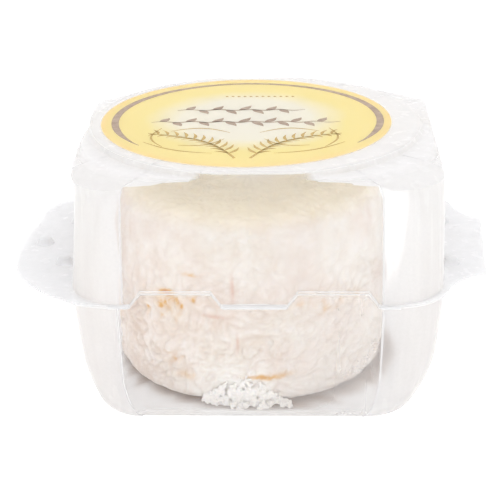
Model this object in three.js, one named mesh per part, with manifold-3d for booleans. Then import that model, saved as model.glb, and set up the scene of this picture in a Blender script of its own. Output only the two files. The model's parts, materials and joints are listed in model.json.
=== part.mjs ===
// Small goat's-milk cheese in a hinged clear plastic box, with a round paper label on the lid.
// Millimetres, +Z up. The origin is the middle of the box's underside, and the hinge is on the -Y side.

import * as THREE from 'three';
import { mergeVertices } from 'three/addons/utils/BufferGeometryUtils.js';
import Module from 'manifold-3d';

const wasm = await Module();
wasm.setup();

// Box
const sheet = 0.5; // thickness of the formed plastic
const gap = 0.3; // air left between pieces that touch in the real box
const seamZ = 26.15; // height of the hinge axis and of the parting plane
const trayTop = seamZ - gap / 2;
const lidBottom = seamZ + gap / 2;
const ledgeZ = 51.2; // the four low corners of the lid's top
const platformZ = 52.1; // the round raised middle that carries the label
const platformRadius = 33.4;
const platformCentre = [-0.6, -2.0];
const seamHalfX = 36.3; // half-widths over the corner columns, at the parting plane
const seamHalfY = 36.1;
const panelRecess = 0.6; // how far a flat panel stands back from the columns beside it
const panelFaceY = -seamHalfY + panelRecess; // hinge-side panel at the parting plane
const hingeY = -36.9;
const frontEdgeY = hingeY + 0.55; // front edge of both flanges, behind the hinge
const backEdgeY = 38.6;

// Tongues of the tray that stand up into notches of the lid, left and right of the middle hinge
const tongue = { inner: 6.5, outer: 23.8, slope: 1.95, height: 2.6 };

// Snap buttons pressed into the ears, as [x, y]
const buttons = [[-45.1, -4.1], [-39.4, -15.2], [-39.4, 8.1], [39.4, -15.2], [39.4, 8.1]];
const button = { foot: 1.5, head: 1.0, height: 1.1 };
const lug = { x: 31.0, y: 33.2, z: 30.0, radius: 1.4 }; // bump low on each corner column of the lid

// Label
const labelRadius = 30;
const labelCentre = [-2.3, 0.2];
const labelThickness = 0.12;

// Cheese
const cheeseCentre = [-1.8, 0];
const cheeseBottom = sheet + gap;

const hingeSideDroop = 0.4; // the lid's corners droop less on the hinge side than on the opening side
const arcSteps = 8;

// Plan of the box at one height: four flat panels, each set back a little between two round columns.
// One quarter is worked out and mirrored about both axes. The corners may droop, more on the +Y side.
function boxOutline({ z, halfX, halfY, column, recess, droop = 0 }, inset) {
  const x = halfX - inset;
  const y = halfY - inset;
  const step = Math.max(recess, 0.05);
  const quarter = [[x - recess, column - step, 0]];
  for (let i = 0; i <= arcSteps; i += 1) {
    const angle = (i / arcSteps) * (Math.PI / 2);
    quarter.push([
      column + (x - column) * Math.cos(angle),
      column + (y - column) * Math.sin(angle),
      -droop * Math.sin(2 * angle),
    ]);
  }
  quarter.push([column - step, y - recess, 0]);
  const mirrored = [...quarter].reverse();
  return [
    ...quarter.map(([px, py, drop]) => [px, py, z + drop]),
    ...mirrored.map(([px, py, drop]) => [-px, py, z + drop]),
    ...quarter.map(([px, py, drop]) => [-px, -py, z + drop * hingeSideDroop]),
    ...mirrored.map(([px, py, drop]) => [px, -py, z + drop * hingeSideDroop]),
  ];
}

// Closed solid through rings of equal point count, listed from the bottom up, with flat ends.
function loft(rings) {
  const count = rings[0].length;
  const positions = rings.flat(2);
  const indices = [];
  for (let level = 0; level < rings.length - 1; level += 1) {
    for (let i = 0; i < count; i += 1) {
      const a = level * count + i;
      const b = level * count + ((i + 1) % count);
      indices.push(a, b, b + count, a, b + count, a + count);
    }
  }
  for (const [ring, top] of [[0, false], [rings.length - 1, true]]) {
    const middle = new THREE.Vector3();
    rings[ring].forEach((point) => middle.add(new THREE.Vector3(...point).divideScalar(count)));
    const centre = positions.length / 3;
    positions.push(middle.x, middle.y, middle.z);
    for (let i = 0; i < count; i += 1) {
      const a = ring * count + i;
      const b = ring * count + ((i + 1) % count);
      indices.push(...(top ? [a, b, centre] : [b, a, centre]));
    }
  }
  const geometry = new THREE.BufferGeometry();
  geometry.setAttribute('position', new THREE.Float32BufferAttribute(positions, 3));
  geometry.setIndex(indices);
  return geometry;
}

function toSolid(source) {
  const bare = new THREE.BufferGeometry();
  bare.setAttribute('position', source.getAttribute('position').clone());
  if (source.index) {
    bare.setIndex(source.index.clone());
  }
  const geometry = mergeVertices(bare, 1e-4);
  return new wasm.Manifold(new wasm.Mesh({
    numProp: 3,
    vertProperties: new Float32Array(geometry.getAttribute('position').array),
    triVerts: new Uint32Array(geometry.index.array),
  }));
}

function toGeometry(solid) {
  const mesh = solid.getMesh();
  const geometry = new THREE.BufferGeometry();
  geometry.setAttribute('position', new THREE.Float32BufferAttribute(mesh.vertProperties, 3));
  geometry.setIndex(Array.from(mesh.triVerts));
  geometry.computeVertexNormals();
  return geometry;
}

function boxSolid(levels, inset = 0) {
  return toSolid(loft(levels.map((level) => boxOutline(level, inset))));
}

function plate(shape, bottom, top) {
  const geometry = new THREE.ExtrudeGeometry(shape, {
    depth: top - bottom, bevelEnabled: false, curveSegments: 8,
  });
  geometry.translate(0, 0, bottom);
  return toSolid(geometry);
}

function frustum(foot, head, bottom, top, [x, y], sides = 16) {
  const geometry = new THREE.CylinderGeometry(head, foot, top - bottom, sides);
  geometry.rotateX(Math.PI / 2);
  geometry.translate(x, y, (bottom + top) / 2);
  return toSolid(geometry);
}

// Trapezoid standing in the hinge-side wall, wider at its foot; grow is the clearance round it.
function hingeTrapezoid(side, grow, bottom, yFrom, yTo) {
  const { inner, outer, slope, height } = tongue;
  const top = seamZ + height + grow;
  const shape = new THREE.Shape();
  shape.moveTo(inner - grow, bottom);
  shape.lineTo(outer + grow, bottom);
  shape.lineTo(outer + grow, seamZ);
  shape.lineTo(outer + grow - slope, top);
  shape.lineTo(inner - grow + slope, top);
  shape.lineTo(inner - grow, seamZ);
  const geometry = new THREE.ExtrudeGeometry(shape, { depth: yTo - yFrom, bevelEnabled: false });
  geometry.rotateX(Math.PI / 2);
  geometry.translate(side === 'left' ? -(inner + outer) : 0, yTo, 0);
  return toSolid(geometry);
}

// Outline of a flange with its two ears. The right ear has straight sides on both halves.
function flangeOutline(leftEar) {
  const shape = new THREE.Shape();
  shape.moveTo(-24.5, frontEdgeY);
  shape.quadraticCurveTo(-33.2, -37.0, -38.0, -32.6);
  leftEar(shape);
  shape.quadraticCurveTo(-39.2, 23.8, -39.2, 28);
  shape.quadraticCurveTo(-39.2, backEdgeY, -28, backEdgeY);
  shape.lineTo(28, backEdgeY);
  shape.quadraticCurveTo(39.2, backEdgeY, 39.2, 28);
  shape.quadraticCurveTo(39.4, 23.4, 42.2, 20.2);
  shape.quadraticCurveTo(43.4, 14.6, 46.2, 12.2);
  shape.quadraticCurveTo(48.4, 11.6, 48.3, 8.5);
  shape.lineTo(46.2, -20.0);
  shape.quadraticCurveTo(41.4, -21.2, 38.6, -26.8);
  shape.quadraticCurveTo(35.4, frontEdgeY, 24.5, frontEdgeY);
  shape.closePath();
  return shape;
}

// The tray's left ear ends in a point at its near corner.
function pointedEar(shape) {
  shape.quadraticCurveTo(-45.6, -27.4, -49.9, -21.2);
  shape.lineTo(-48.9, -17.2);
  shape.quadraticCurveTo(-50.4, -4, -48, 7);
  shape.quadraticCurveTo(-48.6, 19, -42.4, 21.4);
}

// The lid's left ear has two round lobes.
function lobedEar(shape) {
  shape.quadraticCurveTo(-43.8, -29.2, -47.8, -20.2);
  shape.quadraticCurveTo(-50.9, -12, -51, -3);
  shape.quadraticCurveTo(-50.9, 4.8, -48.8, 7.8);
  shape.quadraticCurveTo(-50.8, 19.4, -42.6, 21.8);
}

// The box's plan from the bottom up: half-widths, where the round corner begins, and panel recess.
const trayLevels = [
  { z: 0, halfX: 31.0, halfY: 31.8, column: 23.6, recess: 0.2 },
  { z: 0.6, halfX: 31.8, halfY: 32.6, column: 23.9, recess: 0.3 },
  { z: 2.2, halfX: 32.5, halfY: 33.1, column: 24.2, recess: 0.4 },
  { z: 7.2, halfX: 33.2, halfY: 33.6, column: 24.6, recess: 0.45 },
  { z: 8.0, halfX: 34.7, halfY: 34.5, column: 25.0, recess: 0.5 },
  { z: trayTop, halfX: seamHalfX, halfY: seamHalfY, column: 26.2, recess: panelRecess },
];
const lidLevels = [
  { z: lidBottom, halfX: seamHalfX, halfY: seamHalfY, column: 25.2, recess: panelRecess },
  { z: 47.2, halfX: 35.9, halfY: 35.5, column: 24.9, recess: 0.55 },
  { z: 49.4, halfX: 35.8, halfY: 35.2, column: 24.4, recess: 0.5, droop: 0.8 },
  { z: 50.3, halfX: 35.6, halfY: 34.8, column: 20.5, recess: 0.35, droop: 1.4 },
  { z: 50.9, halfX: 35.2, halfY: 34.0, column: 14.5, recess: 0.1, droop: 1.5 },
  { z: ledgeZ, halfX: 34.5, halfY: 33.0, column: 9, recess: 0, droop: 1.2 },
];
const platformLevels = [
  { z: 49.4, halfX: 35.6, halfY: 35.0, column: 25, recess: 0 },
  { z: 51.0, halfX: 34.8, halfY: 34.2, column: 25, recess: 0 },
  { z: platformZ, halfX: 34.0, halfY: 32.8, column: 25, recess: 0 },
];

// A hollow's levels: the same box inside the sheet, with one end moved on past the open mouth.
function innerLevels(levels, floorShift, mouthIndex, mouthShift) {
  return levels.map((level, index) => ({
    ...level,
    z: level.z + (index === mouthIndex ? mouthShift : floorShift),
  }));
}

function buildTray() {
  const outer = boxSolid(trayLevels);
  const inner = boxSolid(innerLevels(trayLevels, sheet, trayLevels.length - 1, 1), sheet);
  let flange = plate(flangeOutline(pointedEar), trayTop - sheet, trayTop);
  for (const side of ['left', 'right']) {
    flange = flange.subtract(hingeTrapezoid(side, 0, seamZ - 3, -38, panelFaceY));
  }
  let tray = outer.add(flange).subtract(inner);
  const faceY = panelFaceY + 0.05;
  for (const side of ['left', 'right']) {
    tray = tray.add(hingeTrapezoid(side, 0, trayTop - 0.45, faceY, faceY + sheet));
  }
  for (const place of buttons) {
    tray = tray.add(frustum(button.foot - sheet - gap, button.head - sheet, trayTop - 0.1,
      trayTop + button.height, place));
  }
  return tray;
}

function buildLid() {
  const lugBall = (radius) => [[1, 1], [-1, 1], [-1, -1], [1, -1]].map(([x, y]) => {
    const geometry = new THREE.SphereGeometry(radius, 14, 10);
    geometry.translate(x * lug.x, y * lug.y, lug.z);
    return toSolid(geometry);
  });
  const platform = (radius, top) => frustum(radius + 0.8, radius, 45, top, platformCentre, 64);

  let outer = boxSolid(lidLevels);
  outer = outer.add(boxSolid(platformLevels).intersect(platform(platformRadius, platformZ)));
  lugBall(lug.radius).forEach((ball) => { outer = outer.add(ball); });
  outer = outer.add(plate(flangeOutline(lobedEar), lidBottom, lidBottom + sheet));

  let inner = boxSolid(innerLevels(lidLevels, -sheet, 0, -1), sheet);
  inner = inner.add(boxSolid(innerLevels(platformLevels, -sheet, -1, 0), sheet)
    .intersect(platform(platformRadius - sheet, platformZ - sheet)));
  lugBall(lug.radius - sheet).forEach((ball) => { inner = inner.add(ball); });

  let lid = outer.subtract(inner);
  for (const place of buttons) {
    const cap = lidBottom + button.height + gap;
    lid = lid.add(frustum(button.foot + sheet, button.head + sheet, lidBottom + 0.1, cap + sheet, place));
    lid = lid.subtract(frustum(button.foot, button.head, lidBottom - 0.2, cap, place));
  }
  for (const side of ['left', 'right']) {
    lid = lid.subtract(hingeTrapezoid(side, gap, seamZ - 3, -39, panelFaceY + 2));
  }
  return lid;
}

// The cheese is a drum with rounded rims that settled a little out of true.
function buildCheese() {
  const segments = 48;
  const profile = [
    [26.0, 0], [27.4, 0.9], [28.3, 3.4], [28.7, 10], [28.8, 19], [28.6, 28],
    [28.1, 34], [27.0, 37.6], [25.2, 39.6], [22.8, 40.6], [14, 40.9],
  ];
  const rings = profile.map(([radius, height]) => Array.from({ length: segments }, (_, i) => {
    const angle = (i / segments) * 2 * Math.PI;
    const swell = 1 + 0.007 * Math.sin(2 * angle + 0.6) + 0.005 * Math.sin(5 * angle + height / 12);
    const dip = (height / 41) * 0.35 * Math.sin(angle - 0.8) * (radius / 28);
    return [
      cheeseCentre[0] + radius * swell * Math.cos(angle),
      cheeseCentre[1] + radius * swell * Math.sin(angle),
      cheeseBottom + height + dip,
    ];
  }));
  return toGeometry(toSolid(loft(rings)));
}

// Crumbs of rind that came off and lie on the tray's floor on the hinge side.
const crumbs = [
  { place: [-7.4, -27.6], size: [1.6, 1.0, 0.8], turn: 0.3 },
  { place: [-3.2, -29.4], size: [1.9, 1.1, 0.9], turn: -0.5 },
  { place: [1.8, -28.9], size: [1.4, 0.9, 0.7], turn: 0.9 },
  { place: [6.0, -28.2], size: [1.2, 0.8, 0.6], turn: 0.1 },
];

function buildCrumb({ size }) {
  const geometry = new THREE.IcosahedronGeometry(1, 1);
  geometry.scale(...size);
  return geometry;
}

function buildHinge(from, to) {
  const geometry = new THREE.CylinderGeometry(0.25, 0.25, to - from, 8);
  geometry.rotateZ(Math.PI / 2);
  geometry.translate((from + to) / 2, hingeY, seamZ);
  return geometry;
}

const clearPlastic = new THREE.MeshStandardMaterial({
  color: 0xf2f3f3, roughness: 0.12, metalness: 0, transparent: true, opacity: 0.3,
});
const rind = new THREE.MeshStandardMaterial({ color: 0xf1e8e0, roughness: 0.85, metalness: 0 });
const labelPaper = new THREE.MeshStandardMaterial({ color: 0xfff08c, roughness: 0.45, metalness: 0 });

const model = new THREE.Group();

function addPiece(name, geometry, material) {
  const mesh = new THREE.Mesh(geometry, material);
  mesh.name = name;
  model.add(mesh);
  return mesh;
}

addPiece('cheese', buildCheese(), rind);
crumbs.forEach((crumb, index) => {
  const mesh = addPiece(`rind_crumb_${index + 1}`, buildCrumb(crumb), rind);
  mesh.position.set(...crumb.place, sheet + crumb.size[2] + 0.1);
  mesh.rotation.z = crumb.turn;
});
addPiece('base_tray', toGeometry(buildTray()), clearPlastic);
addPiece('lid', toGeometry(buildLid()), clearPlastic);
addPiece('hinge_middle', buildHinge(-tongue.inner + 0.3, tongue.inner - 0.3), clearPlastic);
addPiece('hinge_left', buildHinge(-28, -tongue.outer - 0.3), clearPlastic);
addPiece('hinge_right', buildHinge(tongue.outer + 0.3, 28), clearPlastic);

const labelGeometry = new THREE.CylinderGeometry(labelRadius, labelRadius, labelThickness, 72);
labelGeometry.rotateX(Math.PI / 2);
const label = addPiece('label', labelGeometry, labelPaper);
label.position.set(...labelCentre, platformZ + 0.03 + labelThickness / 2);

export default model;
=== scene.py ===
# Small goat's-milk cheese in a hinged clear box with a round label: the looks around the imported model.
# Sizes are in millimetres, and become metres where a mesh is made. The hinge is on the -Y side.

import json
import math

import bpy
import numpy as np
from mathutils import Matrix, Vector
from mathutils.geometry import delaunay_2d_cdt


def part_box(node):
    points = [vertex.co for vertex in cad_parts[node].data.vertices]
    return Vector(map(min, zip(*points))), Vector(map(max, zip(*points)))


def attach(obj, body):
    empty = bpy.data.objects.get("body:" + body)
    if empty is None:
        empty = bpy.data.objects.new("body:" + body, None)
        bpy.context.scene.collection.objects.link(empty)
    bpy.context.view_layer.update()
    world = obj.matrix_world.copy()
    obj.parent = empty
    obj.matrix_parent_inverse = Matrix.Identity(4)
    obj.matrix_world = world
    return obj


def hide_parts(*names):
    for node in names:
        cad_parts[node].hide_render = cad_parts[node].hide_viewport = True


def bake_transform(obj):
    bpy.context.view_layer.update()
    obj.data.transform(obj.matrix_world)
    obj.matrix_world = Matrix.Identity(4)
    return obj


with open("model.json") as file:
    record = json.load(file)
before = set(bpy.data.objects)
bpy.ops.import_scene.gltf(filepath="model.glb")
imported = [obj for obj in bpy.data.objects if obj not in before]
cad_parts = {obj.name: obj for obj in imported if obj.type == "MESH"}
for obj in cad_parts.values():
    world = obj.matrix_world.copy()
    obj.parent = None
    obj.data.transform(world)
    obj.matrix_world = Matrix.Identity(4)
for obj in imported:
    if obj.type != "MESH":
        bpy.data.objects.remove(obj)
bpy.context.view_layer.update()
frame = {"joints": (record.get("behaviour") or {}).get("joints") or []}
mm = 0.001
draw = np.random.default_rng(7)  # every random choice comes from here, so each run is the same

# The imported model's own measures that the pieces below are built around, in millimetres
hingeAxis = Vector(frame["joints"][0]["pos_m"]) / mm
seamZ = hingeAxis.z
labelLow, labelHigh = [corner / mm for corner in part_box("label")]
labelCentre, labelRadius = (labelLow + labelHigh) / 2, (labelHigh.x - labelLow.x) / 2
cheeseLow, cheeseHigh = [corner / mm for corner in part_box("cheese")]
cheeseCentre = (cheeseLow + cheeseHigh) / 2


def srgb(hexColour):
    # a hex colour as it is seen, turned to the linear values that the shaders want
    channels = [int(hexColour[i:i + 2], 16) / 255 for i in (1, 3, 5)]
    return tuple(c / 12.92 if c <= 0.04045 else ((c + 0.055) / 1.055) ** 2.4 for c in channels) + (1.0,)


def startMaterial(name):
    material = bpy.data.materials.new(name)
    material.use_nodes = True
    material.node_tree.nodes.clear()
    return material, material.node_tree


def addNode(tree, kind, inputs=None, stops=(), give=0, **settings):
    # Adds a node with its settings and returns its output called give. An input is a plain value or the
    # output that feeds it, and stops are a colour ramp's places and colours.
    node = tree.nodes.new("ShaderNode" + kind)
    for name, value in settings.items():
        setattr(node, name, value)
    for name, value in (inputs or {}).items():
        if isinstance(value, bpy.types.NodeSocket):
            tree.links.new(value, node.inputs[name])
        else:
            node.inputs[name].default_value = value
    for _ in stops[2:]:
        node.color_ramp.elements.new(0.5)
    for number, (place, colour) in enumerate(stops):
        element = node.color_ramp.elements[number]
        element.position, element.color = place, srgb(colour)
    return node.outputs[give] if node.outputs else None


def writeMark(mesh, name, values):
    layer = mesh.attributes.new(name, "FLOAT", "POINT")
    layer.data.foreach_set("value", np.asarray(values, np.float32))


def makeMesh(name, points, faces, material, attributes=None):
    mesh = bpy.data.meshes.new(name)
    mesh.from_pydata((np.asarray(points) * mm).tolist(), [], faces)
    for label, values in (attributes or {}).items():
        writeMark(mesh, label, values)
    piece = bpy.data.objects.new(name, mesh)
    bpy.context.scene.collection.objects.link(piece)
    mesh.materials.append(material)
    return piece


def bands(rows, count, first=0):
    # the quads between neighbouring rings of points
    return [[first + r * count + i, first + r * count + (i + 1) % count,
             first + (r + 1) * count + (i + 1) % count, first + (r + 1) * count + i]
            for r in range(rows - 1) for i in range(count)]


def smoothShade(piece, degrees):
    piece.data.shade_smooth()
    piece.data.set_sharp_from_angle(angle=math.radians(degrees))
    return piece


def bakeModifiers(piece):
    shaped = piece.evaluated_get(bpy.context.evaluated_depsgraph_get())
    mesh = bpy.data.meshes.new_from_object(shaped)
    piece.modifiers.clear()
    piece.data = mesh


def thicken(piece, thickness, offset, evenNormals=False):
    sheet = piece.modifiers.new("sheet", "SOLIDIFY")
    sheet.thickness, sheet.offset, sheet.use_quality_normals = thickness * mm, offset, evenNormals
    bakeModifiers(piece)


def readPoints(piece):
    spots = np.empty(len(piece.data.vertices) * 3)
    piece.data.vertices.foreach_get("co", spots)
    return spots.reshape(-1, 3) / mm


def softStep(low, high, value):
    share = np.clip((np.asarray(value, float) - low) / (high - low), 0, 1)
    return share * share * (3 - 2 * share)


def roundOff(rows, rounds):
    # cuts the corners of a list of rows of numbers, so that a bend becomes a soft one
    rows = np.asarray(rows, float)
    for _ in range(rounds):
        first = rows[:-1] * 0.75 + rows[1:] * 0.25
        second = rows[:-1] * 0.25 + rows[1:] * 0.75
        middle = np.stack([first, second], 1).reshape(-1, rows.shape[1])
        rows = np.concatenate([rows[:1], middle[1:-1], rows[-1:]])
    return rows


def fillIn(rows, longest, measure=slice(0, 1)):
    # adds rows wherever two neighbours are further apart than that
    filled = [rows[0]]
    for row in rows[1:]:
        parts = max(1, math.ceil(np.linalg.norm((row - filled[-1])[measure]) / longest))
        start = filled[-1]
        filled += [start + (row - start) * (part + 1) / parts for part in range(parts)]
    return np.array(filled)


def waves(points, length, count, stretch=(1, 1, 1)):
    # sum of even ripples in random directions: its zero lines wind about like the folds of a rind
    directions = draw.normal(size=(count, 3))
    directions /= np.linalg.norm(directions, axis=1, keepdims=True)
    lengths = length * draw.uniform(0.85, 1.2, count)
    phases = draw.uniform(0, 2 * np.pi, count)
    angles = (points / np.array(stretch)) @ (directions / lengths[:, None]).T * 2 * np.pi + phases
    return np.cos(angles).sum(1) / math.sqrt(count / 2)


# Camera: long lens, a little to the right of the middle and turned a hair in its mount
cameraPlan = {
    "target": (-1.85, 0, 23.05),
    "distance": 320,
    "elevation": 22.276,
    "azimuth": 1.89,
    "roll": -0.732,
    "lens": 107.38,
}


def placeCamera(plan):
    azimuth, elevation, roll = (math.radians(plan[key]) for key in ("azimuth", "elevation", "roll"))
    back = Vector((math.sin(azimuth) * math.cos(elevation),
                   -math.cos(azimuth) * math.cos(elevation),
                   math.sin(elevation)))
    level = back.cross((0, 0, -1)).normalized()
    upright = level.cross(-back)
    right = level * math.cos(roll) + upright * math.sin(roll)
    up = upright * math.cos(roll) - level * math.sin(roll)
    data = bpy.data.cameras.new("camera")
    data.lens, data.sensor_width, data.clip_start = plan["lens"], 36, 0.01
    camera = bpy.data.objects.new("camera", data)
    turn = Matrix((right, up, back)).transposed().to_4x4()
    camera.matrix_world = Matrix.Translation((Vector(plan["target"]) + back * plan["distance"]) * mm) @ turn
    bpy.context.scene.collection.objects.link(camera)
    bpy.context.scene.camera = camera


# Light: a white surround and one big soft box overhead, behind and to the right
lightPlan = {"surround": 1.19, "lamp": "overhead_softbox", "place": (180, 90, 560), "size": 0.8,
             "watts": 0.55}


def placeLights(plan):
    scene = bpy.context.scene
    world = bpy.data.worlds.new("white_surround")
    world.use_nodes = True
    background = world.node_tree.nodes["Background"]
    background.inputs["Color"].default_value = (1, 1, 1, 1)
    background.inputs["Strength"].default_value = plan["surround"]
    scene.world = world
    scene.view_settings.view_transform = "Standard"
    scene.cycles.transparent_max_bounces = 48  # a ray passes four walls of the box, two faces each
    data = bpy.data.lights.new(plan["lamp"], "AREA")
    data.size, data.energy = plan["size"], plan["watts"]
    lamp = bpy.data.objects.new(plan["lamp"], data)
    lamp.location = Vector(plan["place"]) * mm
    lamp.rotation_euler = (-lamp.location).to_track_quat("-Z", "Y").to_euler()
    scene.collection.objects.link(lamp)


floorPlan = {"colour": "#ECECEB", "glow": 0.42, "radius": 1600, "drop": 0.02}


def makeFloor(plan):
    # Opal acrylic, cast, lit from below: a pale even light table that all but drowns the object's shadow.
    material, tree = startMaterial("opal_acrylic_light_table")
    shader = addNode(tree, "BsdfPrincipled", {
        "Base Color": srgb(plan["colour"]), "Roughness": 0.9, "Specular IOR Level": 0.1,
        "Emission Color": (1, 1, 1, 1), "Emission Strength": plan["glow"]})
    addNode(tree, "OutputMaterial", {"Surface": shader})
    turns = np.linspace(0, 2 * np.pi, 96, endpoint=False)
    ring = np.stack([np.cos(turns), np.sin(turns), turns * 0], 1) * plan["radius"]
    ring[:, 2] = -plan["drop"]
    makeMesh("floor", ring, [list(range(96))], material)


clearSheet = {
    "veil": "#F5F5F6",
    "painted_shadow": "#A98B72",       # painted contact shadow: a warm brown shade on the tray's floor round the cheese's foot
    "rough": (0.14, 0.3),
    "ior": 1.57,
    "through": 0.5,          # share of the scattered light that goes on through the sheet
    "streakWidth": 2.6,      # lines left by the sheet's draw down into the mould
    "streakHeight": 36.0,
    "speckle": 0.6,
    "wobble": 7,             # gentle unevenness that bends the gloss
}


def makeClearSheet(plan):
    # PET, thermoformed from sheet: thin and glossy, clear where it lies flat in the mould and milky with
    # fine upright draw lines where it was stretched round the columns and out to the ears.
    material, tree = startMaterial("pet_thermoformed_clear")
    place = addNode(tree, "TexCoord", give="Object")
    haze = addNode(tree, "Attribute", attribute_name="haze", give="Fac")
    squeeze = (1, 1, plan["streakWidth"] / plan["streakHeight"])
    drawn = addNode(tree, "Mapping", {"Vector": place, "Scale": squeeze})
    streaks, speckles, wobble = [
        addNode(tree, "TexNoise", {"Vector": where, "Scale": 1 / (plan[size] * mm), "Detail": detail})
        for where, size, detail in ((drawn, "streakWidth", 2.0), (place, "speckle", 1.0),
                                    (place, "wobble", 1.0))]
    streakGain, speckleGain, rough = [
        addNode(tree, "MapRange", {"Value": noise, "From Min": 0.3, "From Max": 0.7,
                                   "To Min": low, "To Max": high})
        for noise, low, high in ((streaks, 0.95, 1.05), (speckles, 0.985, 1.015), (streaks, *plan["rough"]))]
    milky = haze
    for gain in (streakGain, speckleGain):
        milky = addNode(tree, "Math", {0: milky, 1: gain}, operation="MULTIPLY", use_clamp=True)
    edgeOn = addNode(tree, "Fresnel", {"IOR": 1.45})
    clear, matt = [addNode(tree, "Math", {0: 1.0, 1: value}, operation="SUBTRACT")
                   for value in (milky, edgeOn)]
    seeThrough = addNode(tree, "Math", {0: clear, 1: matt}, operation="MULTIPLY")
    bump = addNode(tree, "Bump", {"Height": wobble, "Distance": 0.1 * mm, "Strength": 0.15})
    # painted contact shadow: a brown tint mixed into the sheet's colour on the tray's floor round the
    # cheese's foot
    shadowRing = addNode(tree, "Attribute", attribute_name="painted_shadow", give="Fac")
    veil = addNode(tree, "Mix", {0: shadowRing, 6: srgb(plan["veil"]), 7: srgb(plan["painted_shadow"])},
                   data_type="RGBA", give=2)
    surface = addNode(tree, "BsdfPrincipled", {
        "Base Color": veil, "Roughness": rough, "IOR": plan["ior"], "Normal": bump})
    onward = addNode(tree, "BsdfTranslucent", {"Color": veil, "Normal": bump})
    milk = addNode(tree, "MixShader", {0: plan["through"], 1: surface, 2: onward})
    seen = addNode(tree, "BsdfTransparent")
    shader = addNode(tree, "MixShader", {0: seeThrough, 1: milk, 2: seen})
    addNode(tree, "OutputMaterial", {"Surface": shader})
    return material


boxPlan = {
    "sheet": 0.25,           # thickness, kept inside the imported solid's walls
    "bend": 0.2,             # radius where a wall turns out into its flange
    "gap": 0.12,             # air between the flanges
    "arcSteps": 28,
    "hingeDroop": 0.4,       # share of a level's droop that the two corners at the hinge take
    "floorHump": 0.22,       # rise of the tray's floor in the middle
    "stops": (0, 2.2, 4.4, 8.45, 10.4, 12.6, 15.15, 17.6, 19.8, 21.85),
    "tongue": {"inner": 6.5, "outer": 23.8, "slope": 1.95, "height": 2.75},
    "frontEdge": 36.45,      # hinge-side edge of both flanges
    "lipEdge": 35.92,        # and where the wall stands up in a tongue
    "backEdge": 38.6,
    "trayShifts": (0.7, -0.9),   # how far the step left and right of the hinge-side panel stands off
    "lidShifts": (0.35, -0.35),
}
# The plan of the box from the bottom up: height, half-widths, start of the round column, panel recess, droop
trayLevels = [
    (0, 30.6, 31.7, 22.2, 0.2, 0), (0.6, 31.5, 32.7, 22.9, 0.3, 0), (2.2, 32.5, 33.3, 24.0, 0.4, 0),
    (7.5, 33.9, 34.0, 25.4, 0.45, 0), (11.5, 34.9, 34.6, 25.6, 0.5, 0), (25.85, 36.3, 36.1, 25.9, 0.6, 0),
]
lidLevels = [
    (26.47, 36.3, 36.1, 25.2, 0.6, 0), (47.2, 35.9, 35.5, 24.9, 0.55, 0), (49.4, 35.8, 35.2, 24.4, 0.5, 0.8),
]
shoulderLevels = [
    (50.3, 35.9, 35.0, 20.5, 0.35, 1.3), (50.9, 35.6, 34.4, 14.5, 0.1, 1.4), (51.2, 35.1, 33.8, 9, 0.05, 1.1),
]
panelTopLevels = [(49.4, 35.7, 35.0), (51.0, 35.2, 34.2), (52.1, 34.5, 32.6)]
platform = {"centre": (-0.3, -0.1), "radius": 34.2, "flare": 0.8, "from": 45.0, "top": 52.1}
# How far each side wall stands to the right of that plan, and the far corners inwards, by height
lean = {
    "heights": (0, 2.2, 6, 12, 22, 26, 40, 47, 49.4, 50.3, 51.2, 52),
    "left": (0.4, 0.2, -0.1, 0, 0, 0, 0.8, 0.9, 0.3, 0, 0, 0),
    "right": (-0.9, -0.5, 0.6, 1.0, 1.0, 0.7, 0.8, 0.9, 0.9, 0.7, 0.6, 0.5),
    "farCorners": (0, 0, 0, 0, 0, 0, 0, 0.3, 2.0, 2.8, 3.0, 3.0),
}


def quarterPlan(level, sideStops, stops, shift):
    # A quarter of the plan at one height: from the middle of a side panel, over the step, round the
    # column and along the hinge-side panel, whose step stands a little further in or out by shift.
    z, halfX, halfY, column, recess, droop = level
    step = max(recess, 0.05)
    flat, cornerX = column - step, column + shift
    rise = [(t, softStep(0, 1, t)) for t in (0.2, 0.4, 0.6, 0.8)]
    points = [(halfX - recess, stop * flat, 0) for stop in sideStops]
    points += [(halfX - recess + recess * up, flat + step * t, 0) for t, up in rise]
    turns = [math.pi / 2 * i / boxPlan["arcSteps"] for i in range(boxPlan["arcSteps"] + 1)]
    points += [(cornerX + (halfX - cornerX) * math.cos(turn), column + (halfY - column) * math.sin(turn),
                -droop * math.sin(2 * turn)) for turn in turns]
    points += [(cornerX - step + step * t, halfY - recess + recess * up, 0) for t, up in reversed(rise)]
    points += [(stop * (cornerX - step), halfY - recess, 0) for stop in reversed(stops)]
    return np.array(points)


def planRing(level, plan):
    # the whole ring at one height, from four quarters; plan has each side's shift and stops
    right, left = [quarterPlan(level, plan["side"], plan[side][1], plan[side][0])
                   for side in ("right", "left")]
    near = np.array((1, 1, boxPlan["hingeDroop"]))
    ring = np.concatenate([right, (left[::-1] * (-1, 1, 1))[1:], (left * near * (-1, -1, 1))[1:],
                           (right[::-1] * near * (1, -1, 1))[1:-1]])
    ring[:, 2] += level[0]
    leftLean, rightLean, inwards = [np.interp(level[0], lean["heights"], lean[key])
                                    for key in ("left", "right", "farCorners")]
    farCorner = softStep(18, 31, np.abs(ring[:, 0])) * softStep(18, 31, ring[:, 1]) * inwards
    ring[:, 0] += leftLean * softStep(27, 36, -ring[:, 0]) + rightLean * softStep(27, 36, ring[:, 0])
    ring[:, :2] -= np.sign(ring[:, :2]) * 0.7 * farCorner[:, None]
    return ring


def columnShare(count):
    # 1 on the round columns and 0 on the flat panels, point by point round the ring
    quarter = [0.0] * count + [0.2, 0.4, 0.6, 0.8] + [1.0] * (boxPlan["arcSteps"] + 1)
    quarter = np.array(quarter + [0.8, 0.6, 0.4, 0.2] + [0.0] * count)
    return np.concatenate([quarter, quarter[::-1][1:], quarter[1:], quarter[::-1][1:-1]])


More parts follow.
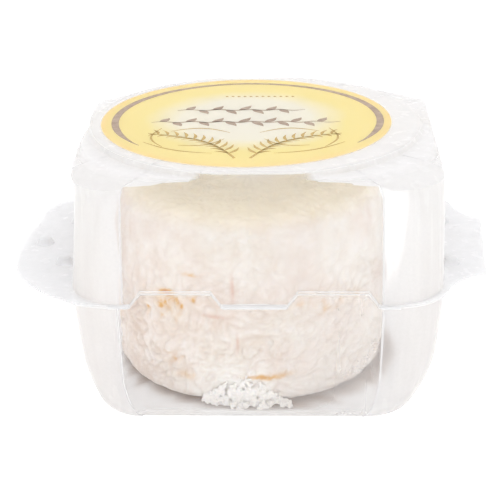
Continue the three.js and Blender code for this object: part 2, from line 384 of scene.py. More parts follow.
def panelStops(grow, flat):
    # places along half a panel, as shares of its width, with the tongue's corners among them
    tongue = boxPlan["tongue"]
    corners = (tongue["inner"] - grow, tongue["inner"] - grow + tongue["slope"],
               tongue["outer"] + grow - tongue["slope"], tongue["outer"] + grow)
    plain = [stop for stop in boxPlan["stops"] if all(abs(stop - corner) > 0.8 for corner in corners)]
    return sorted(stop / flat for stop in plain + list(corners) + [flat])


def ringPlan(grow, flat, shifts):
    # the stops of each side's half panel; shifts move the step beside it, left and right
    left, right = shifts
    return {"right": (right, panelStops(grow, flat + right)), "left": (left, panelStops(grow, flat + left)),
            "side": panelStops(grow, flat)}


def tongueRise(points, grow):
    # how far the rim stands up at each point: two trapezoids beside the middle hinge
    tongue = boxPlan["tongue"]
    inner, outer = tongue["inner"] - grow, tongue["outer"] + grow
    rise = np.interp(np.abs(points[:, 0]), [inner, inner + tongue["slope"], outer - tongue["slope"], outer],
                     [0, tongue["height"], tongue["height"], 0])
    return rise * (points[:, 1] < -33)


def curvePath(start, segments, steps=9):
    # a segment is an end point, or a control point and an end point
    path = [np.array(start, float)]
    for segment in segments:
        if len(segment) == 1:
            path.append(np.array(segment[0], float))
            continue
        begin, control, end = path[-1], np.array(segment[0], float), np.array(segment[1], float)
        for i in range(1, steps + 1):
            t = i / steps
            path.append(begin * (1 - t) ** 2 + control * 2 * t * (1 - t) + end * t * t)
    return path


# Left ears of the two flanges: the tray's ends in a point, the lid's has two round lobes
pointedEar = [((-45.6, -27.4), (-49.9, -21.2)), ((-48.9, -17.2),), ((-50.4, -4), (-48, 7)),
              ((-48.6, 19), (-42.4, 21.4))]
lobedEar = [((-43.8, -29.2), (-47.8, -20.2)), ((-50.9, -12), (-51, -3)), ((-50.9, 4.8), (-48.8, 7.8)),
            ((-50.8, 19.4), (-42.6, 21.8))]


def flangeEdge(ear, grow):
    front, back = -boxPlan["frontEdge"], boxPlan["backEdge"]
    edge = curvePath((-24.5, front), [
        ((-33.2, -37.1), (-38.0, -32.6)), *ear, ((-39.2, 23.8), (-39.2, 28)), ((-39.2, back), (-28, back)),
        ((28, back),), ((39.2, back), (39.2, 28)), ((39.4, 23.4), (42.2, 20.2)), ((43.4, 14.6), (46.2, 12.2)),
        ((48.4, 11.6), (48.3, 8.5)), ((46.2, -20.0),), ((41.4, -21.2), (38.6, -26.8)),
        ((35.4, -37.0), (24.5, front))])
    tongue = boxPlan["tongue"]
    inner, outer, lip = tongue["inner"] - grow, tongue["outer"] + grow, -boxPlan["lipEdge"]
    half = [(outer + 0.06, front), (outer, lip), (outer - tongue["slope"], lip), (19, lip), (15, lip),
            (11, lip), (inner + tongue["slope"], lip), (inner, lip), (inner - 0.06, front), (2, front)]
    edge += [np.array(point) for point in half]
    edge += [np.array((-x, y)) for x, y in reversed(half)]
    return np.array(edge)


def insideOf(points, loop):
    inside = np.zeros(len(points), bool)
    for (x0, y0), (x1, y1) in zip(loop, np.roll(loop, -1, 0)):
        if y0 == y1:
            continue
        crosses = (y0 > points[:, 1]) != (y1 > points[:, 1])
        inside ^= crosses & (points[:, 0] < x0 + (points[:, 1] - y0) * (x1 - x0) / (y1 - y0))
    return inside


def clearOf(points, loop, distance):
    ends = np.roll(loop, -1, 0)
    nearest = np.full(len(points), 1e9)
    for start, end in zip(loop, ends):
        run = end - start
        t = np.clip(((points - start) @ run) / max(run @ run, 1e-9), 0, 1)
        nearest = np.minimum(nearest, np.linalg.norm(points - start - t[:, None] * run, axis=1))
    return nearest > distance


# Snap buttons in the ears, as [x, y]; each ring of a button is its radius and height
buttons = [(-45.1, -4.1), (-39.4, -15.2), (-39.4, 8.1), (39.4, -15.2), (39.4, 8.1)]
trayButton = [(0, 1.1), (0.55, 1.05), (0.8, 0.9), (1.05, 0.2), (1.3, 0.0)]
lidButton = [(0, 1.4), (0.9, 1.38), (1.3, 1.25), (1.7, 0.3), (1.95, 0.0)]
earWave = {"height": 0.22, "length": 17}


def flangeSheet(ring, edge, height, grow, button):
    # The flat flange from the wall's last ring out to its edge, with the buttons pushed up in its ears.
    # Returns the points beyond the ring, and triangles that count the ring's points first.
    extra = [edge]
    for place in buttons:
        for radius, _ in button:
            turns = np.linspace(0, 2 * np.pi, 1 if radius == 0 else 16, endpoint=False)
            extra.append(np.array(place) + radius * np.stack([np.cos(turns), np.sin(turns)], 1))
    lattice = np.stack(np.meshgrid(np.arange(-52, 52, 1.9), np.arange(-38, 40, 1.9)), -1).reshape(-1, 2)
    lattice = lattice[np.abs(lattice[:, 0]) > 36]
    lattice = lattice[insideOf(lattice, edge) & clearOf(lattice, edge, 0.7)]
    lattice = lattice[~insideOf(lattice, ring[:, :2]) & clearOf(lattice, ring[:, :2], 0.7)]
    for place in buttons:
        lattice = lattice[np.linalg.norm(lattice - place, axis=1) > button[-1][0] + 0.5]
    extra.append(lattice)
    extra = np.concatenate(extra)
    flat = np.concatenate([ring[:, :2], extra])
    loops = [(i, (i + 1) % len(ring)) for i in range(len(ring))]
    loops += [(len(ring) + i, len(ring) + (i + 1) % len(edge)) for i in range(len(edge))]
    found, _, triangles, origins, _, _ = delaunay_2d_cdt([Vector(p) for p in flat], loops, [], 0, 1e-6)
    first = [origin[0] for origin in origins]
    triangles = np.array([[first[i] for i in triangle] for triangle in triangles])
    centres = flat[triangles].mean(1)
    triangles = triangles[insideOf(centres, edge) & ~insideOf(centres, ring[:, :2])]
    out = np.column_stack([extra, np.full(len(extra), height)])
    out[:, 2] += tongueRise(out, grow)
    reach = softStep(38.5, 46, np.abs(out[:, 0]))
    out[:, 2] += earWave["height"] * reach * np.sin(out[:, 1] / earWave["length"] * 2 * np.pi)
    for place in buttons:
        away = np.linalg.norm(extra - place, axis=1)
        radii, heights = zip(*button)
        out[:, 2] += np.interp(away, radii, heights)
    return out, triangles


def sheetPiece(name, rings, ringHaze, centre, edge, height, grow, button, facing, material, earHaze):
    # One formed sheet: a blind end, the rings of the wall, and the flange. facing says which way the
    # flange's outer face looks. The sheet is then given its thickness inwards.
    count = len(rings[0])
    points = np.concatenate([[centre], *rings])
    quads = bands(len(rings), count, 1)
    fan = [[0, 1 + (i + 1) % count, 1 + i] for i in range(count)]
    last = rings[-1]
    base = len(points) - count
    out, triangles = flangeSheet(last, edge, height, grow, button)
    points = np.concatenate([points, out])
    corners = points[:, :2]
    flange = []
    for triangle in (triangles + base).tolist():
        p, q, r = corners[triangle]
        turn = (q[0] - p[0]) * (r[1] - p[1]) - (q[1] - p[1]) * (r[0] - p[0])
        flange.append(triangle if turn * facing > 0 else triangle[::-1])
    faces = fan + quads + flange
    if facing > 0:  # the lid's rings run from the top down, so its walls and top are turned over
        faces = [face[::-1] for face in fan + quads] + flange
    haze = np.concatenate([[ringHaze[0][0]], *ringHaze, np.full(len(out), earHaze)])
    piece = makeMesh(name, points, faces, material, {"haze": haze})
    thicken(piece, boxPlan["sheet"], -1, True)
    spots = readPoints(piece)  # slivers at the steps may be thickened the wrong way: press them flat
    spots[:, 2] = np.clip(spots[:, 2], points[:, 2].min(), points[:, 2].max())
    piece.data.vertices.foreach_set("co", (spots * mm).ravel())
    return smoothShade(piece, 42)


def bendOut(ring, downwards):
    # the fillet between wall and flange: two rings that lead from the wall's end out to the flange
    ahead, behind = np.roll(ring, -1, 0), np.roll(ring, 1, 0)
    along = (ahead - behind)[:, :2]
    along /= np.linalg.norm(along, axis=1, keepdims=True)
    outward = np.column_stack([along[:, 1], -along[:, 0], np.zeros(len(ring))])
    r, lift = boxPlan["bend"], np.array((0, 0, 1 if downwards else -1)) * boxPlan["bend"]
    return [ring + lift, ring + outward * r * 0.3 + lift * 0.3, ring + outward * r]


# the right-panel value is painted light: the panels are made milkier, and so brighter, towards the right
trayHaze = {"panel": 0.06, "paintedLightRight": 0.235, "column": 0.3, "floor": 0.42, "ear": 0.46}


def makeTray(material):
    _, _, _, column, recess, _ = trayLevels[-1]
    stops = ringPlan(0, column - recess, boxPlan["trayShifts"])
    levels = fillIn(roundOff(trayLevels, 2), 1.1)
    share = columnShare(len(stops["side"]))
    rings, haze = [], []
    foot = planRing(levels[0], stops)
    for size in (0.06, 0.2, 0.35, 0.5, 0.65, 0.77, 0.86, 0.93, 0.975):
        ring = foot * (size, size, 1)
        ring[:, 2] = boxPlan["floorHump"] * (1 - softStep(0, 31, np.hypot(ring[:, 0], ring[:, 1])))
        rings.append(ring)
        haze.append(np.full(len(ring), trayHaze["floor"]))
    for level in levels:
        ring = planRing(level, stops)
        ring[:, 2] += tongueRise(ring, 0) * np.clip((level[0] - 19) / (levels[-1][0] - 19), 0, 1)
        rings.append(ring)
        walls = trayHaze["panel"] + (trayHaze["column"] - trayHaze["panel"]) * share
        # painted light: panels made milkier, and so brighter, towards the right
        paintedLightShare = softStep(-4, 20, ring[:, 0]) * (1 - share)
        walls = walls + (trayHaze["paintedLightRight"] - trayHaze["panel"]) * paintedLightShare
        fogAndPaintedReflection = trayHaze["floor"] * (1 - softStep(0.5, 9, level[0])) * (0.4 + 0.6 * share)
        haze.append(np.maximum(walls, fogAndPaintedReflection))
    rim = rings.pop()
    rings += bendOut(rim, False)
    haze += [haze[-1]] * 2
    piece = sheetPiece("base_tray_formed", rings, haze, (0, 0, boxPlan["floorHump"]),
                       flangeEdge(pointedEar, 0), rim[0, 2], 0, trayButton, -1, material, trayHaze["ear"])
    # painted contact shadow: a ring on the tray's floor round the cheese's foot, tinted brown and made
    # milkier so that the tint shows
    spots = readPoints(piece)
    beside = np.hypot(spots[:, 0], spots[:, 1])
    shadowRing = ((1 - softStep(27.4, 30.4, beside)) * (1 - softStep(0.6, 2.5, spots[:, 2]))).astype(np.float32)
    writeMark(piece.data, "painted_shadow", shadowRing)
    milk = np.empty(len(shadowRing), np.float32)
    piece.data.attributes["haze"].data.foreach_get("value", milk)
    piece.data.attributes["haze"].data.foreach_set("value", np.maximum(milk, shadowRing * 0.8))
    return piece


# the ledge value is painted light: a painted highlight on the front ledges beside the round top
# the right-panel value is painted light: a painted reflection on the hinge-side panel
lidHaze = {"panel": 0.14, "paintedLightRight": 0.215, "column": 0.31, "top": 0.27, "ledge": 0.75, "ear": 0.46}
lug = {"x": 31.0, "y": 33.2, "z": 30.0, "radius": 1.4, "height": 0.45}


def reach(ring, angles):
    # distance from the middle, and height, of a ring at the given directions
    around = np.arctan2(ring[:, 1], ring[:, 0])
    far = np.interp(angles, around, np.hypot(ring[:, 0], ring[:, 1]), period=2 * np.pi)
    return far, np.interp(angles, around, ring[:, 2], period=2 * np.pi)


def makeLid(material):
    gap = boxPlan["gap"]
    _, _, _, column, recess, _ = lidLevels[0]
    stops = ringPlan(gap, column - recess, boxPlan["lidShifts"])
    share = columnShare(len(stops["side"]))
    levels = fillIn(roundOff(lidLevels, 1), 0.85)
    rings = []
    for level in levels:
        ring = planRing(level, stops)
        ring[:, 2] += tongueRise(ring, gap) * np.clip((37 - level[0]) / (37 - levels[0][0]), 0, 1)
        for sx, sy in ((1, 1), (1, -1), (-1, 1), (-1, -1)):
            away = np.linalg.norm(ring - (sx * lug["x"], sy * lug["y"], lug["z"]), axis=1)
            push = lug["height"] * (1 - softStep(0, lug["radius"], away))
            outward = ring[:, :2] - (column * sx, column * sy)
            outward /= np.linalg.norm(outward, axis=1, keepdims=True)
            ring[:, :2] += outward * push[:, None]
        rings.append(ring)
    angles = np.arctan2(rings[-1][:, 1], rings[-1][:, 0])
    compass = np.stack([np.cos(angles), np.sin(angles)], 1)
    centre, top = np.array(platform["centre"]), platform["top"]

    def circleReach(z):
        radius = platform["radius"] + platform["flare"] * (top - z) / (top - platform["from"])
        offset = compass @ centre
        return offset + np.sqrt(radius ** 2 - centre @ centre + offset ** 2)

    def panelReach(z):
        heights, *halves = zip(*panelTopLevels)
        halfX, halfY = [np.interp(z, heights, half) for half in halves]
        return reach(planRing((z, halfX, halfY, 25, 0.05, 0), stops), angles)[0]

    onPanel = softStep(-0.3, 0.4, circleReach(top) - panelReach(top))
    shoulder = [reach(planRing(level, stops), angles) for level in shoulderLevels]
    ledge, ledgeZ = shoulder[-1]
    rows = []
    for (cornerFar, cornerZ), panelZ in zip(shoulder, (50.1, 50.7, 51.2)):
        rows.append((cornerFar, cornerZ, panelReach(panelZ), panelZ))
    foot = circleReach(50.9) + 0.25
    rows += [(np.minimum(foot + 0.25, ledge), ledgeZ + 0.1, panelReach(51.5), 51.5),
             (foot - 0.1, ledgeZ + 0.25, panelReach(51.65), 51.65),
             (circleReach(51.8), 51.75, panelReach(51.9), 51.85),
             (circleReach(52.0) - 0.1, 52.0, panelReach(52.0) - 0.1, 52.0),
             (circleReach(top) - 0.35, top, panelReach(top) - 0.35, top)]
    for cornerFar, cornerZ, panelFar, panelZ in rows:
        panelFar = np.minimum(panelFar, circleReach(panelZ))
        far = cornerFar + (panelFar - cornerFar) * onPanel
        height = cornerZ + (panelZ - cornerZ) * onPanel
        rings.append(np.column_stack([compass * far[:, None], height]))
    edge = rings[-1]
    for size in (0.97, 0.9, 0.75, 0.55, 0.3, 0.06):
        ring = edge.copy()
        ring[:, :2] = centre + (edge[:, :2] - centre) * size
        rings.append(ring)
    walls = lidHaze["panel"] + (lidHaze["column"] - lidHaze["panel"]) * share
    haze = []
    for ring in rings[:len(levels)]:
        # painted reflection: the hinge-side panel is made milkier, and so brighter, right of a slanting line
        slant = ring[:, 0] - 1.5 - (45 - ring[:, 2]) * 0.35
        fogAndPaintedReflection = softStep(-1.5, 1.5, slant) * (1 - softStep(38, 46, ring[:, 2]))
        fogAndPaintedReflection = fogAndPaintedReflection * (1 - share) * (ring[:, 1] < -30)
        haze.append(walls + (lidHaze["paintedLightRight"] - lidHaze["panel"]) * fogAndPaintedReflection)
    # painted highlight: the front ledges are made nearly opaque white, the back ones keep the top's haze
    topHazeAndLedgeHighlight = lidHaze["top"] + (lidHaze["ledge"] - lidHaze["top"]) * (ring[:, 1] < 0)
    for row in range(len(rows) - 1):
        beside = walls if row < 2 else topHazeAndLedgeHighlight
        haze.append(beside + (lidHaze["panel"] - beside) * onPanel)
    haze += [np.full(len(walls), lidHaze["top"])] * (len(rings) - len(haze))
    rim = rings[0]
    rings, haze = rings[1:][::-1], haze[1:][::-1]
    rings += bendOut(rim, True)
    haze += [haze[-1]] * 3
    return sheetPiece("lid_formed", rings, haze, (*platform["centre"], platform["top"]),
                      flangeEdge(lobedEar, gap), rim[0, 2], gap, lidButton, 1, material, lidHaze["ear"])


hingePlan = {"thickness": 0.2, "bulge": 0.18, "middle": (-6.15, 6.15), "outer": (24.2, 28.0), "haze": 0.45}


def makeHinge(name, fromX, toX, material):
    # living hinge: the sheet between the two flanges, folded over on itself in a tight C
    bulge, centreY = hingePlan["bulge"], hingeAxis.y + 0.1
    low, high = seamZ - bulge, seamZ + bulge
    path = [(-boxPlan["frontEdge"] + 0.05, low), (centreY + 0.08, low)]
    for i in range(13):
        turn = -math.pi / 2 - math.pi * i / 12
        path.append((centreY + bulge * math.cos(turn), seamZ + bulge * math.sin(turn)))
    path += [(centreY + 0.08, high), (-boxPlan["frontEdge"] + 0.05, high)]
    path = np.array(path)
    stations = np.linspace(fromX, toX, 2 + round((toX - fromX) / 0.8))
    points = np.array([(x, y, z) for x in stations for y, z in path])
    count = len(path)
    faces = [[s * count + i, s * count + i + 1, (s + 1) * count + i + 1, (s + 1) * count + i]
             for s in range(len(stations) - 1) for i in range(count - 1)]
    piece = makeMesh(name, points, faces, material, {"haze": np.full(len(points), hingePlan["haze"])})
    thicken(piece, hingePlan["thickness"], 0)
    return smoothShade(piece, 50)


# Cheese: radius and height of the drum's outline, from the underside to the middle of the top
cheesePlan = {
    "profile": [(0, 0.1), (12, 0.05), (25.5, 0.0), (27.3, 0.3), (28.3, 1.3), (28.7, 3.6), (28.8, 10),
                (28.8, 19), (28.6, 28), (28.1, 34), (27.0, 37.6), (25.2, 39.6), (22.8, 40.6), (14, 40.9),
                (0, 40.9)],
    "tall": 40.9,
    "markRadius": 28.6,      # where the marks' angles are turned to lengths
    "sink": 0.4,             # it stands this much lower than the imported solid, down on the tray
    "columns": 440,
    "rowStep": 0.42,
    "foldWidth": 1.45,
    "foldDepth": 0.56,
    "topFoldDepth": 0.22,
    "creaseDepth": 0.2,
    "lumpDepth": 0.42,
    "grainDepth": 0.06,
}
# Where mould has coloured the rind: angle round the drum, height, spread along and across, strength
solidSpots = [
    (-125.6, 22.9, 1.25, 0.5, 2.4), (-113.7, 27.9, 1.5, 0.26, 0.7), (-84.0, 6.3, 3.0, 0.42, 0.9),
    (-76, 6.7, 2.4, 0.7, 0.45), (-116.5, 5.6, 1.8, 0.8, 0.3), (-125, 21.3, 4.6, 2.0, 0.16),
]
ochreSpots = [
    (-137, 18.0, 0.7, 1.5, 0.7), (-128, 19.6, 0.8, 1.7, 0.8),
    (-124, 20.6, 1.4, 1.3, 0.6), (-119, 20.2, 0.6, 1.7, 0.9), (-113.1, 22.6, 1.6, 0.5, 0.5),
    (-68, 22.0, 2.0, 0.9, 0.45), (-57, 21.0, 1.8, 0.9, 0.5),
    (-53, 19.3, 1.6, 0.6, 0.55), (-37, 19.8, 1.6, 1.4, 0.4), (-46.5, 20.6, 1.6, 0.9, 0.35),
    (-122, 8.6, 2.6, 0.9, 0.3), (40, 14, 3.0, 1.0, 0.5), (75, 25, 2.6, 0.8, 0.5), (118, 9, 3.0, 1.2, 0.5),
    (160, 21, 2.0, 1.1, 0.5), (10, 27, 2.2, 0.7, 0.5), (-170, 12, 2.4, 1.2, 0.5),
]
redStreaks = [(-95.9, 25.6, 0.35, 3.2, 0.8), (-94.0, 14.0, 0.3, 2.4, 0.6), (-104, 19.5, 2.2, 0.35, 0.6)]


def spread(marks, angles, heights, radius):
    total = np.zeros(len(angles))
    for turn, height, along, across, strength in marks:
        arc = np.radians((angles - turn + 180) % 360 - 180) * radius
        total += strength * np.exp(-(arc / along) ** 2 - ((heights - height) / across) ** 2)
    return total


def makeCheese(material):
    plan, centre = cheesePlan, cheeseCentre
    bottom = cheeseLow.z - plan["sink"]
    tall = cheeseHigh.z - bottom - 0.35
    profile = roundOff(plan["profile"], 2) * (1, tall / plan["tall"])
    under = profile[:np.argmax(profile[:, 0] > 24)]
    shown = profile[len(under):]
    rows = np.concatenate([fillIn(under[1:], 2.2, slice(0, 2)),
                           fillIn(shown[:-1], plan["rowStep"], slice(0, 2))])
    rows = rows[rows[:, 0] > 0.25]
    count = plan["columns"]
    turns = np.linspace(0, 2 * np.pi, count, endpoint=False)
    radius, height = rows[:, 0][:, None], rows[:, 1][:, None]
    swell = 1 + 0.007 * np.sin(2 * turns + 0.6) + 0.005 * np.sin(5 * turns + height / 12)
    dip = (height / 41) * 0.35 * np.sin(turns - 0.8) * (radius / 28)
    body = np.stack([radius * swell * np.cos(turns), radius * swell * np.sin(turns), height + dip], -1)

    around = np.roll(body, -1, 1) - np.roll(body, 1, 1)
    up = np.gradient(body, axis=0)
    normal = np.cross(around, up)
    normal /= np.maximum(np.linalg.norm(normal, axis=2, keepdims=True), 1e-9)

    flat = body.reshape(-1, 3)
    onTop = softStep(36.5, 40.6, flat[:, 2])
    low = 1 - softStep(0.5, 4, flat[:, 2])
    drift = np.stack([waves(flat, 13, 14), waves(flat, 13, 14), waves(flat, 13, 14)], 1)
    folds = waves(flat + drift * 0.9, plan["foldWidth"] * 2, 70, (1.25, 1.25, 0.95))
    streaks = waves(flat + drift * 1.4, 3.4, 50, (3.2, 1.0, 1.0))
    folds = folds * (1 - onTop) + streaks * onTop
    groove = np.exp(-(folds / 0.42) ** 2)
    busy = softStep(-0.9, 0.9, waves(flat, 17, 16)) * 0.45 + 0.55
    lumps = 0.7 * waves(flat, 11, 20) + 0.7 * waves(flat, 5.5, 30)
    creases = np.exp(-(waves(flat + drift * 0.5, 1.7, 60, (1.3, 1.3, 0.9)) / 0.4) ** 2)
    grain = waves(flat, 0.95, 60)
    depth = plan["foldDepth"] * (1 - onTop) * busy + plan["topFoldDepth"] * onTop
    calm = 1 - 0.65 * softStep(20, 30, flat[:, 2]) * (1 - onTop)
    push = -(groove * depth + creases * plan["creaseDepth"]) * calm
    push = push + plan["lumpDepth"] * (lumps - 1.6) * 0.5 + plan["grainDepth"] * grain
    push *= 1 - 0.6 * low
    flat = flat + normal.reshape(-1, 3) * push[:, None]

    angles, markRadius = np.degrees(np.arctan2(flat[:, 1], flat[:, 0])), plan["markRadius"]
    patch = waves(flat, 1.5, 40)
    sway = waves(flat, 4.2, 24)
    bent = angles + np.degrees(0.55 * sway / markRadius)
    raised = flat[:, 2] + patch * 0.3 + 0.45 * waves(flat, 3.4, 24)
    ochre = spread(ochreSpots, bent, raised, markRadius) * (0.55 + 0.65 * groove)
    ochre *= np.clip(0.75 + 0.5 * waves(flat, 1.9, 40), 0.15, 1.6) * (1 - onTop)
    ochre += spread(solidSpots, angles + patch * 0.25, flat[:, 2] + patch * 0.1, markRadius)
    red = spread(redStreaks, angles, flat[:, 2], markRadius)
    fluffy = np.exp(-((angles + 92) / 17) ** 2) * (1 - softStep(5, 13, flat[:, 2]))
    # blush: a random pink tone of the rind, and on the left side painted shade where less light falls
    blushAndSideShade = np.maximum(softStep(-1.2, 1.4, waves(flat, 15, 18)), softStep(112, 138, -angles) * 0.95)

    flat += (centre.x, centre.y, bottom)
    crownZ = flat[-count:, 2].mean()
    points = np.concatenate([flat, [(centre.x, centre.y, bottom + 0.1), (centre.x, centre.y, crownZ)]])
    foot, crown = len(points) - 2, len(points) - 1
    faces = bands(len(rows), count)
    last = (len(rows) - 1) * count
    faces += [[foot, (i + 1) % count, i] for i in range(count)]
    faces += [[crown, last + i, last + (i + 1) % count] for i in range(count)]
    # furrowed marks the grooves, which the rind darkens with painted shade
    furrowed = np.maximum(groove * busy, 0.6 * creases * busy) * calm * (1 - 0.65 * onTop)
    # painted light on the top face: a lighter, warmer tint that stands for light coming through the yellow
    # label
    marks = {"groove": furrowed, "ochre": ochre, "red": red, "paintedTopLight": onTop, "blushAndSideShade": blushAndSideShade, "fluff": fluffy}
    attributes = {name: np.concatenate([values, np.zeros(2)]) for name, values in marks.items()}
    piece = makeMesh("cheese_wheel", points, faces, material, attributes)
    return smoothShade(piece, 180)


rindPlan = {
    # the top-face colour is painted light: a lighter, warmer tint for light coming through the yellow label
    "ivory": "#EDE2D6", "chalk": "#FFFDFA", "shade": "#D3BEAC", "blushAndSideShade": "#E7D4C7", "paintedTopLight": "#FFF1D8",
    "ochre": "#E0A63C", "amber": "#CC7A0A", "red": "#D9A58C",
    # the crease weight sets how strongly painted shade darkens the grooves
    "fuzz": 0.35, "mottle": 4.5, "creaseShade": 0.6,
}


def makeRind(plan):
    # Goat's-milk cheese rind, hand-moulded and ripened: matt and bloomy, chalky on the crests of its folds,
    # with painted shade, tan, darkening the grooves, and with light that sinks in a little before it comes
    # back.
    material, tree = startMaterial("goat_cheese_rind_ripened")
    place = addNode(tree, "TexCoord", give="Object")
    marks = {name: addNode(tree, "Attribute", attribute_name=name, give="Fac")
             for name in ("groove", "ochre", "red", "paintedTopLight", "blushAndSideShade", "fluff")}
    fine, mottle = [
        addNode(tree, "TexNoise", {"Vector": place, "Scale": 1 / (plan[size] * mm), "Detail": detail,
                                   "Roughness": roughness})
        for size, detail, roughness in (("fuzz", 4.0, 0.6), ("mottle", 5.0, 0.65))]
    fineShare, mottleShare = [
        addNode(tree, "MapRange", {"Value": noise, "From Min": 0.35, "From Max": 0.65})
        for noise in (fine, mottle)]
    # painted light: a warmer, lighter tint on the top face; painted shade: a tan darkening in the grooves
    paleness, paintedTopLightShare, creaseShade = [
        addNode(tree, "Math", {0: share, 1: most}, operation="MULTIPLY")
        for share, most in ((mottleShare, 0.55), (marks["paintedTopLight"], 0.9), (marks["groove"], plan["creaseShade"]))]
    body = srgb(plan["ivory"])
    for share, colour in ((marks["blushAndSideShade"], "blushAndSideShade"), (paleness, "chalk"), (marks["fluff"], "chalk"),
                          (paintedTopLightShare, "paintedTopLight"), (creaseShade, "shade"), (marks["red"], "red")):
        body = addNode(tree, "Mix", {0: share, 6: body, 7: srgb(plan[colour])}, data_type="RGBA", give=2)
    moulded = addNode(tree, "Math", {0: marks["ochre"], 1: fineShare}, operation="MULTIPLY")
    moulded = addNode(tree, "Math", {0: moulded, 1: marks["ochre"]}, operation="ADD", use_clamp=True)
    deep = addNode(tree, "MapRange", {"Value": marks["ochre"], "From Min": 0.7, "From Max": 1.7})
    mould = addNode(tree, "Mix", {0: deep, 6: srgb(plan["ochre"]), 7: srgb(plan["amber"])},
                    data_type="RGBA", give=2)
    body = addNode(tree, "Mix", {0: moulded, 6: body, 7: mould}, data_type="RGBA", give=2)
    rough = addNode(tree, "MapRange", {"Value": marks["groove"], "To Min": 0.9, "To Max": 0.62})
    grain = addNode(tree, "Bump", {"Height": fine, "Distance": 0.12 * mm, "Strength": 0.6})
    shader = addNode(tree, "BsdfPrincipled", {
        "Base Color": body, "Roughness": rough, "IOR": 1.45, "Specular IOR Level": 0.3,
        "Subsurface Weight": 0.15, "Subsurface Radius": (1.0, 0.75, 0.5), "Subsurface Scale": 0.5 * mm,
        "Sheen Weight": 0.12, "Sheen Roughness": 0.6, "Normal": grain})
    addNode(tree, "OutputMaterial", {"Surface": shader})
    return material


# Crumbs and the frayed fringe of rind at the cheese's foot on the hinge side
restZ = boxPlan["sheet"] + 0.32  # they end this high, just off the tray's floor
crumbPlan = {"beads": 16, "size": (0.28, 0.75), "rough": 0.2}
fringePlan = {"middle": -92, "spread": 15, "beads": 340, "size": (0.25, 0.62), "top": 6.6, "apron": 0.9,
              "fused": 0.17}


def blobs(places, sizes):
    # little irregular lumps, each a dimpled ball of its own, in one list of points and faces
    level = [(x, y, 0) for y in (1.618, -1.618) for x in (-1, 1)]
    bones = [np.roll(bone, turn) for turn in range(3) for bone in level]
    sides = [(0, 11, 5), (0, 5, 1), (0, 1, 7), (0, 7, 10), (0, 10, 11), (1, 5, 9), (5, 11, 4), (11, 10, 2),
             (10, 7, 6), (7, 1, 8), (3, 9, 4), (3, 4, 2), (3, 2, 6), (3, 6, 8), (3, 8, 9), (4, 9, 5),
             (2, 4, 11), (6, 2, 10), (8, 6, 7), (9, 8, 1)]
    ball, faces = [bone / np.linalg.norm(bone) for bone in bones], sides
    for _ in range(2):
        middles, finer = {}, []

        def middle(i, j):
            key = (min(i, j), max(i, j))
            if key not in middles:
                between = ball[i] + ball[j]
                ball.append(between / np.linalg.norm(between))
                middles[key] = len(ball) - 1
            return middles[key]

        for a, b, c in faces:
            ab, bc, ca = middle(a, b), middle(b, c), middle(c, a)
            finer += [(a, ab, ca), (b, bc, ab), (c, ca, bc), (ab, bc, ca)]
        faces = finer
    ball = np.array(ball)
    points, triangles = [], []
    for place, size in zip(places, sizes):
        stretch = draw.uniform(0.65, 1.3, 3)
        dents = 1 + crumbPlan["rough"] * waves(ball, 1.5, 6) * 0.6
        triangles += [[len(points) * len(ball) + i for i in face] for face in faces]
        points.append(place + ball * dents[:, None] * stretch * size)
    return np.concatenate(points), triangles


def settle(points, lowest):
    points[:, 2] = np.maximum(points[:, 2], lowest + 0.02 * np.abs(np.sin(points[:, 0] * 9)))
    return points


def makeCrumb(name, node, material):
    low, high = [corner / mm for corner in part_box(node)]
    middle, half = np.array((low + high) / 2), np.array((high - low) / 2)
    places = middle + draw.uniform(-1, 1, (crumbPlan["beads"], 3)) * half * (0.95, 0.9, 0.5)
    places[:, 2] -= 0.25
    points, faces = blobs(places, draw.uniform(*crumbPlan["size"], crumbPlan["beads"]))
    pale = {"fluff": np.full(len(points), 0.8), "groove": np.full(len(points), 0.1)}
    piece = makeMesh(name, settle(points, restZ), faces, material, pale)
    return smoothShade(piece, 180)


def makeFringe(material):
    plan, centre = fringePlan, cheeseCentre
    scatter = draw.uniform(-0.6, 0.6, plan["beads"]) + draw.uniform(-0.6, 0.6, plan["beads"])
    angles = np.radians(plan["middle"] + scatter * plan["spread"])
    mound = plan["top"] * (1 - 0.75 * np.abs(scatter) ** 1.5)
    heights = boxPlan["sheet"] + 0.5 + mound * draw.uniform(0, 1, plan["beads"]) ** 1.9
    radii = 27.7 + 0.75 * softStep(0.5, 4, heights)
    radii += draw.uniform(-0.2, plan["apron"], plan["beads"]) * (1 - softStep(0.8, 3.2, heights))
    places = np.column_stack([centre.x + radii * np.cos(angles), centre.y + radii * np.sin(angles), heights])
    sizes = draw.uniform(*plan["size"], plan["beads"]) * (1 - 0.45 * softStep(3, plan["top"], heights))
    points, faces = blobs(places, sizes)
    piece = makeMesh("rind_fringe", settle(points, restZ), faces, material)
    fuse = piece.modifiers.new("fuse", "REMESH")  # the beads run together into one frayed edge
    fuse.mode, fuse.voxel_size = "VOXEL", plan["fused"] * mm
    soften = piece.modifiers.new("soften", "SMOOTH")
    soften.factor, soften.iterations = 0.5, 3
    bakeModifiers(piece)
    writeMark(piece.data, "fluff", np.full(len(piece.data.vertices), 0.85))
    return smoothShade(piece, 180)


labelPlan = {
    "middle": "#FFFFFF", "pale": "#FFFEF8", "yellow": "#FFEB74", "deep": "#FFE45C", "edge": "#FFD44C",
    "back": "#FFFEF8", "fibre": 0.9, "paleTo": 0.46,
    "printRise": 0.02, "ring": (27.4, 26.6), "ringWidth": 1.45, "row": (-1.8, 6.6), "through": 0.72,
}


